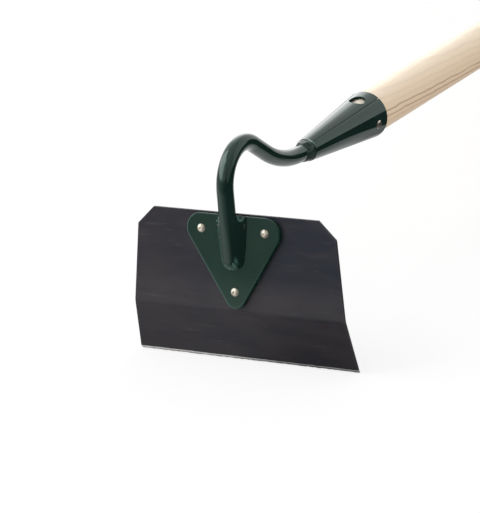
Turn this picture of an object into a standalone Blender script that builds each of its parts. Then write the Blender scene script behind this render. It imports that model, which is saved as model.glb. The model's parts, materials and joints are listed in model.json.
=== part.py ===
"""Garden hoe: a bent steel blade riveted to a green swan-necked head on a long ash handle.

The head is drawn in its own frame: the origin is the middle of the blade's top edge on the outer
face, +X runs along the blade, +Y to the handle and +Z up the blade's flat. An empty then lays the
whole hoe down, so that its cutting edge and the butt of its handle rest on the ground.
Sizes are in metres and angles in radians.
"""

import math

import bmesh
import bpy
import numpy as np
from mathutils import Matrix, Vector

# Clearance that separate pieces keep where they meet
GAP = 0.0003

# Blade: one steel sheet, bent once across its width and ground along its lower edge
BLADE_WIDTH = 0.178
BLADE_TOP_WIDTH = 0.1572
BLADE_UPPER = 0.0707
BLADE_LOWER = 0.0420
BLADE_BEND = math.radians(17.2)
BLADE_BEND_RADIUS = 0.014
BLADE_THICKNESS = 0.0022
CORNER_CUT_WIDTH = 0.0123
CORNER_CUT_HEIGHT = 0.0130
GROUND_WIDTH = 0.0020
EDGE_LAND = 0.0005

# Mounting plate: a triangle with rounded corners
PLATE_WIDTH = 0.0752
PLATE_HEIGHT = 0.0684
PLATE_THICKNESS = 0.0030
PLATE_SHOULDER_RADIUS = 0.0118
PLATE_TIP_RADIUS = 0.0084
PLATE_DROP = 0.0005
PLATE_EDGE_ROUND = 0.0004

# Blade rivets: domed heads in front, flattened tails behind
RIVET_SPREAD = 0.0510
RIVET_SHOULDER_DROP = 0.0118
RIVET_TIP_DROP = 0.0563
RIVET_HEAD_DIAMETER = 0.0064
RIVET_HEAD_HEIGHT = 0.0019
RIVET_DIMPLE_DIAMETER = 0.0014
RIVET_DIMPLE_FLOOR = 0.0008
RIVET_DIMPLE_DEPTH = 0.0002
RIVET_SHANK_DIAMETER = 0.0038
RIVET_TAIL_DIAMETER = 0.0058
RIVET_TAIL_HEIGHT = 0.0011
RIVET_TAIL_CHAMFER = 0.0006

# Swan neck: one bent rod, its foot ground flat against the plate
ROD_DIAMETER = 0.0121
FOOT_LENGTH = 0.0370
FOOT_LEAN = math.radians(6.5)
FOOT_STANDOFF = 0.0007
ARCH_RISE = 0.0479
ARCH_RADIUS = 0.0276
NECK_DESCENT = math.radians(28.0)
VALLEY_RADIUS = 0.0960
NECK_INSERT = 0.0180

# Weld beads
FOOT_BEAD_TOP_DIAMETER = 0.0090
FOOT_BEAD_TIP_DIAMETER = 0.0056
FOOT_BEAD_STANDOFF = 0.0008
FOOT_BEAD_TOP = 0.0050
FOOT_BEAD_TURN_RADIUS = 0.0045
THROAT_BEAD_REACH = 0.0100
THROAT_BEAD_ROOT = 0.0025
THROAT_BEAD_TOE = 0.0006

# Ferrule: a cone rolled from sheet, open along its seam
THROAT_REACH = 0.1086
THROAT_RISE = 0.0249
THROAT_ROOM = 0.0010
FERRULE_PITCH = math.radians(5.4)
FERRULE_LENGTH = 0.0970
FERRULE_WALL = 0.0015
SEAM_WIDTH = 0.0005
SEAM_TURN = math.radians(40.0)
SIGHT_HOLE_DIAMETER = 0.0130
SIGHT_HOLE_SETBACK = 0.0155
SIGHT_HOLE_TURN = math.radians(7.0)

# Ferrule rivet: a round pin through the ferrule and the handle
PIN_SETBACK = 0.0118
PIN_TURN = math.radians(8.0)
PIN_HEAD_DIAMETER = 0.0068
PIN_HEAD_HEIGHT = 0.0022
PIN_SHANK_DIAMETER = 0.0042

# Handle: a turned ash shaft that sits a little steeper than the ferrule, its nose tapered to fit inside
HANDLE_LENGTH = 1.372
HANDLE_DIAMETER = 0.0330
HANDLE_PITCH = math.radians(5.95)
HANDLE_NOSE_DEPTH = 0.0740
BUTT_ROUND = 0.0100

# Facets
ARC_STEP = math.radians(5.0)
VALLEY_STEP = math.radians(2.5)
COARSE_STEP = math.radians(15.0)
CRATER_END = math.radians(75.0)
CRATER_STEPS = 4
ROUND_STEPS = 56
RIVET_STEPS = 24
SIGHT_HOLE_STEPS = 48
DOME_STEPS = 6
NECK_RESOLUTION = 8
BEAD_RESOLUTION = 4
SHARP_EDGE = math.radians(30.0)
PLATE_RIM = math.radians(60.0)

# Vertices closer than this are one, and cutters run on past what they cut by the margin
MERGE = 0.00001
MARGIN = 0.010

PARTS = bpy.data.collections.new("garden_hoe")
CUTTERS = bpy.data.collections.new("hoe_cutters")


def clear_scene():
    for obj in list(bpy.data.objects):
        bpy.data.objects.remove(obj, do_unlink=True)
    bpy.context.scene.collection.children.link(PARTS)
    bpy.context.scene.collection.children.link(CUTTERS)


def paint(name, colour, roughness, metallic):
    """A plain finish with one colour."""
    material = bpy.data.materials.new(name)
    material.use_nodes = True
    shader = material.node_tree.nodes["Principled BSDF"]
    shader.inputs["Base Color"].default_value = (*colour, 1.0)
    shader.inputs["Roughness"].default_value = roughness
    shader.inputs["Metallic"].default_value = metallic
    return material


def frame(origin, x_axis, y_axis, z_axis):
    """The matrix of a local frame with these three unit axes."""
    matrix = Matrix((x_axis, y_axis, z_axis)).transposed().to_4x4()
    matrix.translation = origin
    return matrix


def add_part(name, mesh, matrix, material):
    obj = bpy.data.objects.new(name, mesh)
    PARTS.objects.link(obj)
    obj.matrix_world = matrix
    obj.data.materials.append(material)
    return obj


def add_cutter(name, mesh, matrix):
    obj = bpy.data.objects.new(name, mesh)
    CUTTERS.objects.link(obj)
    obj.matrix_world = matrix
    obj.hide_render = True
    obj.display_type = "WIRE"
    return obj


def combine(part, cutter, operation="DIFFERENCE"):
    modifier = part.modifiers.new(cutter.name, "BOOLEAN")
    modifier.object = cutter
    modifier.operation = operation
    modifier.solver = "EXACT"


def mesh_of_curve(curve):
    """The closed mesh of a curve, with its caps welded to its sides."""
    holder = bpy.data.objects.new(curve.name, curve)
    CUTTERS.objects.link(holder)
    bpy.context.view_layer.update()
    evaluated = holder.evaluated_get(bpy.context.evaluated_depsgraph_get())
    mesh = bpy.data.meshes.new_from_object(evaluated)
    bpy.data.objects.remove(holder, do_unlink=True)
    shell = bmesh.new()
    shell.from_mesh(mesh)
    bmesh.ops.remove_doubles(shell, verts=shell.verts, dist=MERGE)
    bmesh.ops.recalc_face_normals(shell, faces=shell.faces)
    shell.to_mesh(mesh)
    shell.free()
    return mesh


def slab_mesh(name, outline, depth):
    """A flat outline in the local XY plane, filled, and as thick as depth about that plane."""
    curve = bpy.data.curves.new(name, "CURVE")
    curve.dimensions = "2D"
    curve.fill_mode = "BOTH"
    curve.extrude = depth / 2
    spline = curve.splines.new("POLY")
    spline.points.add(len(outline) - 1)
    for point, (x, y) in zip(spline.points, outline):
        point.co = (x, y, 0.0, 1.0)
    spline.use_cyclic_u = True
    return mesh_of_curve(curve)


def rod_mesh(name, path, radius, resolution, swell=None):
    """A round rod along a path of points, with flat ends; swell scales its radius at each point."""
    curve = bpy.data.curves.new(name, "CURVE")
    curve.dimensions = "3D"
    curve.bevel_depth = radius
    curve.bevel_resolution = resolution
    curve.use_fill_caps = True
    spline = curve.splines.new("POLY")
    spline.points.add(len(path) - 1)
    for point, place, share in zip(spline.points, path, swell or [1.0] * len(path)):
        point.co = (*place, 1.0)
        point.radius = share
    return mesh_of_curve(curve)


def drill_mesh(name, radius, depth, steps):
    """A cylinder about local Z, centred on its origin."""
    mesh = bpy.data.meshes.new(name)
    shell = bmesh.new()
    bmesh.ops.create_cone(shell, cap_ends=True, segments=steps, radius1=radius, radius2=radius, depth=depth)
    shell.to_mesh(mesh)
    shell.free()
    return mesh


def box_mesh(name, size):
    """A box with these three sides, centred on its origin."""
    mesh = bpy.data.meshes.new(name)
    shell = bmesh.new()
    bmesh.ops.create_cube(shell, size=1.0)
    bmesh.ops.scale(shell, vec=size, verts=shell.verts)
    shell.to_mesh(mesh)
    shell.free()
    return mesh


def turned_part(name, profile, closed, matrix, material, steps):
    """A profile of (radius, height) points, given down its outer side, turned about local Z."""
    mesh = bpy.data.meshes.new(name)
    points = [(radius, 0.0, height) for radius, height in profile]
    count = len(points)
    edges = [(i, (i + 1) % count) for i in range(count if closed else count - 1)]
    mesh.from_pydata(points, edges, [])
    obj = add_part(name, mesh, matrix, material)
    screw = obj.modifiers.new("turned", "SCREW")
    screw.axis = "Z"
    screw.steps = steps
    screw.render_steps = steps
    screw.use_merge_vertices = True
    screw.merge_threshold = MERGE
    screw.use_smooth_shade = False
    return obj


def filleted(corners, radii, step):
    """The corners of a flat line joined by straight runs, each inner one rounded by an arc."""
    points = [Vector(corners[0])]
    for before, corner, after, radius in zip(corners, corners[1:], corners[2:], radii):
        into = (Vector(corner) - Vector(before)).normalized()
        out = (Vector(after) - Vector(corner)).normalized()
        turn = math.atan2(into.x * out.y - into.y * out.x, into.dot(out))
        start = Vector(corner) - into * radius * math.tan(abs(turn) / 2)
        side = math.copysign(1.0, turn)
        centre = start + Vector((-into.y, into.x)) * side * radius
        count = max(1, math.ceil(abs(turn) / step))
        for i in range(count + 1):
            angle = turn * i / count
            arm = start - centre
            turned = (arm.x * math.cos(angle) - arm.y * math.sin(angle),
                      arm.x * math.sin(angle) + arm.y * math.cos(angle))
            points.append(centre + Vector(turned))
    points.append(Vector(corners[-1]))
    return points


def crossing(point_a, way_a, point_b, way_b):
    """Where two flat lines cross."""
    det = way_a.x * way_b.y - way_a.y * way_b.x
    gap = point_b - point_a
    return point_a + way_a * ((gap.x * way_b.y - gap.y * way_b.x) / det)


def in_side_view(point):
    """A (y, z) point of the hoe's middle plane as a point in space."""
    return (0.0, point[0], point[1])


ROD_RADIUS = ROD_DIAMETER / 2
RIVET_HOLE_RADIUS = RIVET_SHANK_DIAMETER / 2 + GAP
PIN_HOLE_RADIUS = PIN_SHANK_DIAMETER / 2 + GAP
PLATE_FRONT = -(GAP + PLATE_THICKNESS)
MOUTH_INNER_RADIUS = HANDLE_DIAMETER / 2 + GAP
THROAT_INNER_RADIUS = ROD_RADIUS + THROAT_ROOM
TAPER = (MOUTH_INNER_RADIUS - THROAT_INNER_RADIUS) / FERRULE_LENGTH

FERRULE_WAY = Vector((math.cos(FERRULE_PITCH), math.sin(FERRULE_PITCH)))
THROAT = Vector((THROAT_REACH, THROAT_RISE))
MOUTH = THROAT + FERRULE_WAY * FERRULE_LENGTH


def shaft_frame(place, pitch):
    """Local Z runs up to the butt at this pitch, local X along the blade and local Y down."""
    turn = Matrix.Rotation(pitch - math.pi / 2, 4, "X")
    return Matrix.Translation(in_side_view(place)) @ turn


FERRULE_FRAME = shaft_frame(THROAT, FERRULE_PITCH)
HANDLE_FRAME = shaft_frame(MOUTH, HANDLE_PITCH)

# Local Z points out of the blade's outer face, local X along the blade and local Y up
FACE_FRAME = frame(Vector((0.0, 0.0, 0.0)),
                   Vector((1.0, 0.0, 0.0)),
                   Vector((0.0, 0.0, 1.0)),
                   Vector((0.0, -1.0, 0.0)))

# Local Z runs along the blade, local X to the handle and local Y up
SIDE_FRAME = frame(Vector((0.0, 0.0, 0.0)),
                   Vector((0.0, 1.0, 0.0)),
                   Vector((0.0, 0.0, 1.0)),
                   Vector((1.0, 0.0, 0.0)))

RIVET_PLACES = {
    "rivet_left": (-RIVET_SPREAD / 2, -RIVET_SHOULDER_DROP),
    "rivet_right": (RIVET_SPREAD / 2, -RIVET_SHOULDER_DROP),
    "rivet_tip": (0.0, -RIVET_TIP_DROP),
}


def blade_section():
    """The blade's cut across its width, in the side view: outer face, ground edge and inner face."""
    fall = Vector((math.sin(BLADE_BEND), -math.cos(BLADE_BEND)))
    inward = Vector((math.cos(BLADE_BEND), math.sin(BLADE_BEND)))
    bend = Vector((0.0, -BLADE_UPPER))
    edge = bend + fall * BLADE_LOWER
    outer = filleted([(0.0, 0.0), bend, edge - fall * GROUND_WIDTH], [BLADE_BEND_RADIUS], ARC_STEP)
    inner_bend = crossing(Vector((BLADE_THICKNESS, 0.0)), Vector((0.0, -1.0)),
                          edge + inward * BLADE_THICKNESS, fall)
    inner_radius = BLADE_BEND_RADIUS - BLADE_THICKNESS
    inner = filleted([(BLADE_THICKNESS, 0.0), inner_bend, edge + inward * BLADE_THICKNESS],
                     [inner_radius], ARC_STEP)
    land = edge + inward * (BLADE_THICKNESS - EDGE_LAND)
    return outer + [land] + inner[::-1]


def blade_outline():
    """The blade's sides and cut corners seen from the front, run on past its top and bottom."""
    flare = (BLADE_WIDTH - BLADE_TOP_WIDTH) / 2 / (BLADE_UPPER + BLADE_LOWER)
    half_top = BLADE_TOP_WIDTH / 2

    def half_width(along):
        return half_top + flare * along

    drop = math.cos(BLADE_BEND)
    beyond = BLADE_LOWER + MARGIN
    cut_low = Vector((half_width(CORNER_CUT_HEIGHT), -CORNER_CUT_HEIGHT))
    cut_high = Vector((half_top - CORNER_CUT_WIDTH, 0.0))
    past_top = cut_high + (cut_high - cut_low) * (MARGIN / CORNER_CUT_HEIGHT)
    right = [past_top, cut_low,
             Vector((half_width(BLADE_UPPER), -BLADE_UPPER)),
             Vector((half_width(BLADE_UPPER + beyond), -BLADE_UPPER - beyond * drop))]
    left = [Vector((-point.x, point.y)) for point in reversed(right)]
    return right + left


def make_rivet_drills():
    """One drill for each rivet, through the plate and the blade."""
    depth = 2 * (PLATE_THICKNESS + BLADE_THICKNESS + MARGIN)
    mesh = drill_mesh("rivet_drill", RIVET_HOLE_RADIUS, depth, RIVET_STEPS)
    drills = []
    for name, (x, z) in RIVET_PLACES.items():
        drills.append(add_cutter(name + "_drill", mesh, Matrix.Translation((x, 0.0, z)) @ FACE_FRAME))
    return drills


def make_blade(drills):
    steel = paint("blued_steel", (0.050, 0.050, 0.058), 0.42, 0.75)
    blade = add_part("blade", slab_mesh("blade", blade_section(), BLADE_WIDTH + 2 * MARGIN), SIDE_FRAME, steel)
    depth = 2 * (BLADE_LOWER + MARGIN)
    combine(blade, add_cutter("blade_outline", slab_mesh("blade_outline", blade_outline(), depth), FACE_FRAME),
            "INTERSECT")
    for drill in drills:
        combine(blade, drill)


def hull_of_circles(circles, step):
    """The outline that wraps round three circles, given anticlockwise as (x, y, radius)."""
    outline = []
    count = len(circles)
    for i, (x, y, radius) in enumerate(circles):
        turns = []
        for first, second in ((circles[i - 1], circles[i]), (circles[i], circles[(i + 1) % count])):
            run = Vector((second[0] - first[0], second[1] - first[1]))
            spread = math.asin((first[2] - second[2]) / run.length)
            turns.append(math.atan2(run.y, run.x) - math.pi / 2 + spread)
        start, end = turns
        sweep = (end - start) % (2 * math.pi)
        pieces = max(1, math.ceil(sweep / step))
        for j in range(pieces + 1):
            angle = start + sweep * j / pieces
            outline.append((x + radius * math.cos(angle), y + radius * math.sin(angle)))
    return outline


def make_mounting_plate(green, drills):
    top = -PLATE_DROP - PLATE_SHOULDER_RADIUS
    side = PLATE_WIDTH / 2 - PLATE_SHOULDER_RADIUS
    tip = -PLATE_DROP - PLATE_HEIGHT + PLATE_TIP_RADIUS
    circles = [(side, top, PLATE_SHOULDER_RADIUS),
               (-side, top, PLATE_SHOULDER_RADIUS),
               (0.0, tip, PLATE_TIP_RADIUS)]
    mesh = slab_mesh("mounting_plate", hull_of_circles(circles, COARSE_STEP), PLATE_THICKNESS)
    place = Matrix.Translation((0.0, PLATE_FRONT + PLATE_THICKNESS / 2, 0.0)) @ FACE_FRAME
    plate = add_part("mounting_plate", mesh, place, green)
    bevel = plate.modifiers.new("rounded_edge", "BEVEL")
    bevel.width = PLATE_EDGE_ROUND
    bevel.segments = 2
    bevel.limit_method = "ANGLE"
    bevel.angle_limit = PLATE_RIM
    for drill in drills:
        combine(plate, drill)


def dome(radius, height, base):
    """The outer side of a domed head, from near its crown down to its rim at this base height."""
    sphere = (radius ** 2 + height ** 2) / (2 * height)
    reach = math.asin(radius / sphere)
    points = []
    for i in range(1, DOME_STEPS + 1):
        angle = reach * i / DOME_STEPS
        points.append((sphere * math.sin(angle), base + height - sphere * (1 - math.cos(angle))))
    return points


def make_blade_rivets():
    """Three rivets with dimpled domes; local Z points out of the plate."""
    steel = paint("rivet_steel", (0.62, 0.57, 0.50), 0.32, 1.0)
    seat = GAP - PLATE_FRONT
    shank = RIVET_SHANK_DIAMETER / 2
    tail = RIVET_TAIL_DIAMETER / 2
    tail_top = -BLADE_THICKNESS - GAP
    tail_end = tail_top - RIVET_TAIL_HEIGHT
    head = dome(RIVET_HEAD_DIAMETER / 2, RIVET_HEAD_HEIGHT, seat)
    dimple = RIVET_DIMPLE_DIAMETER / 2
    crown = seat + RIVET_HEAD_HEIGHT
    profile = [(0.0, crown - RIVET_DIMPLE_DEPTH), (RIVET_DIMPLE_FLOOR / 2, crown - RIVET_DIMPLE_DEPTH)]
    profile += [point for point in head if point[0] > dimple]
    profile += [(shank, seat), (shank, tail_top), (tail, tail_top),
                (tail, tail_end + RIVET_TAIL_CHAMFER),
                (tail - RIVET_TAIL_CHAMFER, tail_end), (0.0, tail_end)]
    for name, (x, z) in RIVET_PLACES.items():
        turned_part(name, profile, False, Matrix.Translation((x, 0.0, z)) @ FACE_FRAME, steel, RIVET_STEPS)


def foot_centre(height):
    """The centre of the neck's straight foot at this height, in the side view."""
    start = PLATE_FRONT - FOOT_STANDOFF - ROD_RADIUS
    return Vector((start - height * math.tan(FOOT_LEAN), height))


def neck_corners():
    """The corners of the neck's centre line: foot, over the arch, down into the ferrule's throat."""
    up = Vector((-math.sin(FOOT_LEAN), math.cos(FOOT_LEAN)))
    down = Vector((math.cos(NECK_DESCENT), -math.sin(NECK_DESCENT)))
    # The arch's centre lies one radius from the foot's line and one below the arch's crown
    offset = foot_centre(0.0) + Vector((math.cos(FOOT_LEAN), math.sin(FOOT_LEAN))) * ARCH_RADIUS
    centre = offset + up * ((ARCH_RISE - ARCH_RADIUS - offset.y) / up.y)
    brow = centre + Vector((math.sin(NECK_DESCENT), math.cos(NECK_DESCENT))) * ARCH_RADIUS
    arch = crossing(foot_centre(0.0), up, brow, down)
    valley = crossing(brow, down, THROAT, FERRULE_WAY)
    return [foot_centre(-FOOT_LENGTH), arch, valley, THROAT + FERRULE_WAY * NECK_INSERT]


def neck_path():
    """The neck's centre line, with the arch's bend and the wider bend of its valley."""
    foot, arch, valley, end = neck_corners()
    middle = (arch + valley) / 2
    path = filleted([foot, arch, middle], [ARCH_RADIUS], ARC_STEP)[:-1]
    path += filleted([middle, valley, end], [VALLEY_RADIUS], VALLEY_STEP)[1:]
    return [in_side_view(point) for point in path]


def plate_face_cutter(name):
    """A block that fills all behind the plate's front face and its clearance."""
    depth = PLATE_THICKNESS + BLADE_THICKNESS + MARGIN
    height = PLATE_HEIGHT + MARGIN
    middle = (0.0, PLATE_FRONT - GAP + depth / 2, -PLATE_DROP - height / 2)
    return add_cutter(name, box_mesh(name, (PLATE_WIDTH, depth, height)), Matrix.Translation(middle))


def make_swan_neck(green):
    rod = rod_mesh("swan_neck", neck_path(), ROD_RADIUS, NECK_RESOLUTION)
    neck = add_part("swan_neck", rod, Matrix.Identity(4), green)
    combine(neck, plate_face_cutter("foot_grind"))


def foot_bead_path():
    """The bead's centre line: down one side of the foot, round its end and up the other side."""
    spread = ROD_RADIUS + FOOT_BEAD_STANDOFF
    low = -FOOT_LENGTH - FOOT_BEAD_STANDOFF - GAP
    corners = [(-spread, -FOOT_BEAD_TOP), (-spread, low), (spread, low), (spread, -FOOT_BEAD_TOP)]
    path = filleted(corners, [FOOT_BEAD_TURN_RADIUS] * 2, COARSE_STEP)
    # The bead starts and ends in a rounded crater, up to one radius beyond its straight run
    start = []
    for i in range(CRATER_STEPS, 0, -1):
        rise = FOOT_BEAD_TOP_DIAMETER / 2 * math.sin(CRATER_END * i / CRATER_STEPS)
        start.append((-spread, rise - FOOT_BEAD_TOP))
    end = [(-x, z) for x, z in reversed(start)]
    inner = [(point.x, point.y) for point in path]
    return [(x, PLATE_FRONT - FOOT_BEAD_STANDOFF, z) for x, z in start + inner + end]


def foot_bead_swell(path):
    """The bead's radius at each point, as a share of its full radius at the top."""
    low = min(place[2] for place in path)
    tip_share = FOOT_BEAD_TIP_DIAMETER / FOOT_BEAD_TOP_DIAMETER
    shares = []
    for place in path:
        past_top = (place[2] + FOOT_BEAD_TOP) / (FOOT_BEAD_TOP_DIAMETER / 2)
        if past_top > 0.0:
            shares.append(math.sqrt(1.0 - past_top ** 2))
        else:
            fall = (place[2] + FOOT_BEAD_TOP) / (low + FOOT_BEAD_TOP)
            shares.append(1.0 + (tip_share - 1.0) * fall)
    return shares


def make_foot_weld(green):
    """The fillet weld between the neck's foot and the plate."""
    path = foot_bead_path()
    radius = FOOT_BEAD_TOP_DIAMETER / 2
    bead = rod_mesh("foot_weld", path, radius, BEAD_RESOLUTION, foot_bead_swell(path))
    weld = add_part("foot_weld", bead, Matrix.Identity(4), green)
    combine(weld, plate_face_cutter("foot_weld_bed"))
    foot, arch = neck_corners()[:2]
    start = foot - (arch - foot).normalized() * GAP
    run = [in_side_view(start), in_side_view(arch)]
    sleeve = rod_mesh("foot_sleeve", run, ROD_RADIUS + GAP, NECK_RESOLUTION)
    combine(weld, add_cutter("foot_sleeve", sleeve, Matrix.Identity(4)))


def ferrule_inner_radius(along):
    """The radius of the ferrule's bore at this distance from its throat."""
    return THROAT_INNER_RADIUS + TAPER * along


def make_ferrule(green):
    wall = FERRULE_WALL / math.cos(math.atan(TAPER))
    throat = THROAT_INNER_RADIUS
    mouth = MOUTH_INNER_RADIUS
    profile = [(mouth + wall, FERRULE_LENGTH), (throat + wall, 0.0), (throat, 0.0), (mouth, FERRULE_LENGTH)]
    ferrule = turned_part("ferrule", profile, True, FERRULE_FRAME, green, ROUND_STEPS)
    beyond = mouth + wall + MARGIN
    # The seam, the sight hole and the pin's hole are cut from the axis outwards
    seam_turn = Matrix.Rotation(SEAM_TURN, 4, "Z")
    slot = Matrix.Translation((0.0, -beyond / 2, FERRULE_LENGTH / 2))
    seam = box_mesh("seam_slot", (SEAM_WIDTH, beyond, FERRULE_LENGTH + MARGIN))
    combine(ferrule, add_cutter("seam_slot", seam, FERRULE_FRAME @ seam_turn @ slot))
    hole_turn = Matrix.Rotation(SIGHT_HOLE_TURN, 4, "Z")
    upright = Matrix.Rotation(math.pi / 2, 4, "X")
    place = Matrix.Translation((0.0, -beyond / 2, FERRULE_LENGTH - SIGHT_HOLE_SETBACK))
    hole = drill_mesh("sight_hole", SIGHT_HOLE_DIAMETER / 2, beyond, SIGHT_HOLE_STEPS)
    combine(ferrule, add_cutter("sight_hole", hole, FERRULE_FRAME @ hole_turn @ place @ upright))
    return ferrule


def pin_frame():
    """The frame of the ferrule's rivet: local Z runs along the blade's width."""
    along = Matrix.Translation((0.0, 0.0, FERRULE_LENGTH - PIN_SETBACK))
    return FERRULE_FRAME @ along @ Matrix.Rotation(PIN_TURN, 4, "Z") @ Matrix.Rotation(math.pi / 2, 4, "Y")


def make_pin_drill():
    depth = HANDLE_DIAMETER + 2 * (FERRULE_WALL + MARGIN)
    mesh = drill_mesh("pin_drill", PIN_HOLE_RADIUS, depth, RIVET_STEPS)
    return add_cutter("pin_drill", mesh, pin_frame())


def make_ferrule_rivet():
    """A pin with a domed head on each side of the ferrule."""
    steel = paint("pin_steel", (0.50, 0.44, 0.37), 0.36, 1.0)
    along = FERRULE_LENGTH - PIN_SETBACK
    head_radius = PIN_HEAD_DIAMETER / 2
    # The head clears the cone where it is widest under it, on the side of the mouth
    surface = ferrule_inner_radius(along + head_radius) + FERRULE_WALL / math.cos(math.atan(TAPER))
    seat = surface + GAP
    shank = PIN_SHANK_DIAMETER / 2
    top = [(0.0, seat + PIN_HEAD_HEIGHT)] + dome(head_radius, PIN_HEAD_HEIGHT, seat) + [(shank, seat)]
    profile = top + [(radius, -height) for radius, height in reversed(top)]
    turned_part("ferrule_rivet", profile, False, pin_frame(), steel, RIVET_STEPS)


def make_throat_weld(green):
    """The bead that closes the ferrule's throat round the neck."""
    inner = ROD_RADIUS + GAP
    root = THROAT_INNER_RADIUS - GAP
    crest = THROAT_INNER_RADIUS + FERRULE_WALL - THROAT_BEAD_TOE
    toe = inner + THROAT_BEAD_TOE
    profile = [(root, THROAT_BEAD_ROOT), (root, -GAP), (crest, -GAP)]
    for i in range(1, DOME_STEPS + 1):
        share = i / DOME_STEPS
        swell = math.cos(share * math.pi / 2)
        profile.append((toe + (crest - toe) * swell, -GAP - THROAT_BEAD_REACH * math.sin(share * math.pi / 2)))
    profile += [(inner, -GAP - THROAT_BEAD_REACH), (inner, THROAT_BEAD_ROOT)]
    turned_part("throat_weld", profile, True, FERRULE_FRAME, green, ROUND_STEPS)


def make_handle():
    ash = paint("ash", (0.70, 0.53, 0.36), 0.45, 0.0)
    radius = HANDLE_DIAMETER / 2
    butt = HANDLE_LENGTH - HANDLE_NOSE_DEPTH
    # The nose drifts off the ferrule's axis, and is thinner by as much
    drift = HANDLE_NOSE_DEPTH * math.tan(HANDLE_PITCH - FERRULE_PITCH)
    nose = ferrule_inner_radius(FERRULE_LENGTH - HANDLE_NOSE_DEPTH) - drift - GAP
    flat = radius - BUTT_ROUND
    profile = [(0.0, butt), (flat, butt)]
    for i in range(1, DOME_STEPS + 1):
        angle = math.pi / 2 * i / DOME_STEPS
        profile.append((flat + BUTT_ROUND * math.sin(angle), butt - BUTT_ROUND * (1 - math.cos(angle))))
    profile += [(radius, 0.0), (nose, -HANDLE_NOSE_DEPTH), (0.0, -HANDLE_NOSE_DEPTH)]
    return turned_part("handle", profile, False, HANDLE_FRAME, ash, ROUND_STEPS)


def corners_of_parts():
    """Every corner of every finished part, as an array of points in space."""
    bpy.context.view_layer.update()
    graph = bpy.context.evaluated_depsgraph_get()
    clouds = []
    for obj in PARTS.objects:
        mesh = obj.evaluated_get(graph).data
        flat = np.empty(len(mesh.vertices) * 3, dtype=np.float32)
        mesh.vertices.foreach_get("co", flat)
        place = np.array(obj.matrix_world)
        clouds.append(flat.reshape(-1, 3) @ place[:3, :3].T + place[:3, 3])
    return np.vstack(clouds)


def resting_turn(points):
    """The turn about X that puts the lowest point of the head and of the shaft at one height."""
    side = points[:, 1:]
    head = side[side[:, 0] < THROAT_REACH]
    shaft = side[side[:, 0] > THROAT_REACH]
    turn = 0.0
    for _ in range(8):
        up = np.array((math.sin(turn), math.cos(turn)))
        low_head = head[(head @ up).argmin()]
        low_shaft = shaft[(shaft @ up).argmin()]
        run, rise = low_shaft - low_head
        turn = -math.atan2(rise, run)
    return turn


def lay_down():
    """Rests the hoe on the ground, with the middle of its box's base at the origin."""
    points = corners_of_parts()
    turn = Matrix.Rotation(resting_turn(points), 4, "X")
    placed = points @ np.array(turn)[:3, :3].T
    low = placed.min(axis=0)
    high = placed.max(axis=0)
    rest = bpy.data.objects.new("hoe_rest", None)
    PARTS.objects.link(rest)
    for obj in list(PARTS.objects) + list(CUTTERS.objects):
        if obj is not rest:
            obj.parent = rest
    middle = (low + high) / 2
    rest.matrix_world = Matrix.Translation((-middle[0], -middle[1], -low[2])) @ turn


def shade_round_parts():
    for obj in PARTS.objects:
        if obj.type == "MESH":
            obj.data.shade_smooth()
            obj.data.set_sharp_from_angle(angle=SHARP_EDGE)


def main():
    clear_scene()
    green = paint("green_enamel", (0.023, 0.048, 0.037), 0.22, 0.0)
    drills = make_rivet_drills()
    make_blade(drills)
    make_mounting_plate(green, drills)
    make_blade_rivets()
    make_swan_neck(green)
    make_foot_weld(green)
    ferrule = make_ferrule(green)
    make_throat_weld(green)
    handle = make_handle()
    pin_drill = make_pin_drill()
    combine(ferrule, pin_drill)
    combine(handle, pin_drill)
    make_ferrule_rivet()
    lay_down()
    shade_round_parts()


main()
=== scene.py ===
import json
import math

import bmesh
import bpy
import numpy as np
from mathutils import Matrix, Vector


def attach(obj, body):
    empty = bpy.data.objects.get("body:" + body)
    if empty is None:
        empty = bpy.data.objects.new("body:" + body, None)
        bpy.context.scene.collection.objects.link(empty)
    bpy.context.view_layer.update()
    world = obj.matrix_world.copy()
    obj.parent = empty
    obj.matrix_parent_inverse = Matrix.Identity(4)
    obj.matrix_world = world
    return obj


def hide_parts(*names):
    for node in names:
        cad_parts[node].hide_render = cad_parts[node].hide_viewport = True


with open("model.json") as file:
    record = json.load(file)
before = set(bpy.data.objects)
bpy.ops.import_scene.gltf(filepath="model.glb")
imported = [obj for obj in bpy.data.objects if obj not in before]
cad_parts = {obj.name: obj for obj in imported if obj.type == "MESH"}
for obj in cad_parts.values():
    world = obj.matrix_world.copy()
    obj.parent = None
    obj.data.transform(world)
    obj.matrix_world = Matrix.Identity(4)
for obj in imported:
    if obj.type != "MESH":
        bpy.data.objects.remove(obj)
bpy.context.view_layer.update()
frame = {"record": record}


# How the hoe lies: on its cutting edge and on the butt of its handle. Every piece is drawn in the
# head's own frame, whose origin is the middle of the blade's top edge on the outer face, with X along
# the blade, Y to the handle and Z up the blade's flat, and is then turned and moved to the ground.
BLADE_UPPER = 0.0707
BLADE_BEND = math.radians(17.2)
MEASURED_FALL = 0.0205
MEASURED_POINT = (0.006, MEASURED_FALL * math.sin(BLADE_BEND),
                  -BLADE_UPPER - MEASURED_FALL * math.cos(BLADE_BEND))

measured = {mount["name"]: mount for mount in frame["record"]["mounts"]}["lower_outer_face"]
lay = BLADE_BEND - math.atan2(-measured["axis"][2], -measured["axis"][1])
HEAD = Matrix.Rotation(-lay, 4, "X")
HEAD.translation = Vector(measured["pos_m"]) - HEAD.to_3x3() @ Vector(MEASURED_POINT)


def to_ground(points, place):
    """Points of a local frame in the row frame: the frame's turn times each point, plus its place."""
    matrix = np.array(place)
    return points @ matrix[:3, :3].T + matrix[:3, 3]


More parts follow.
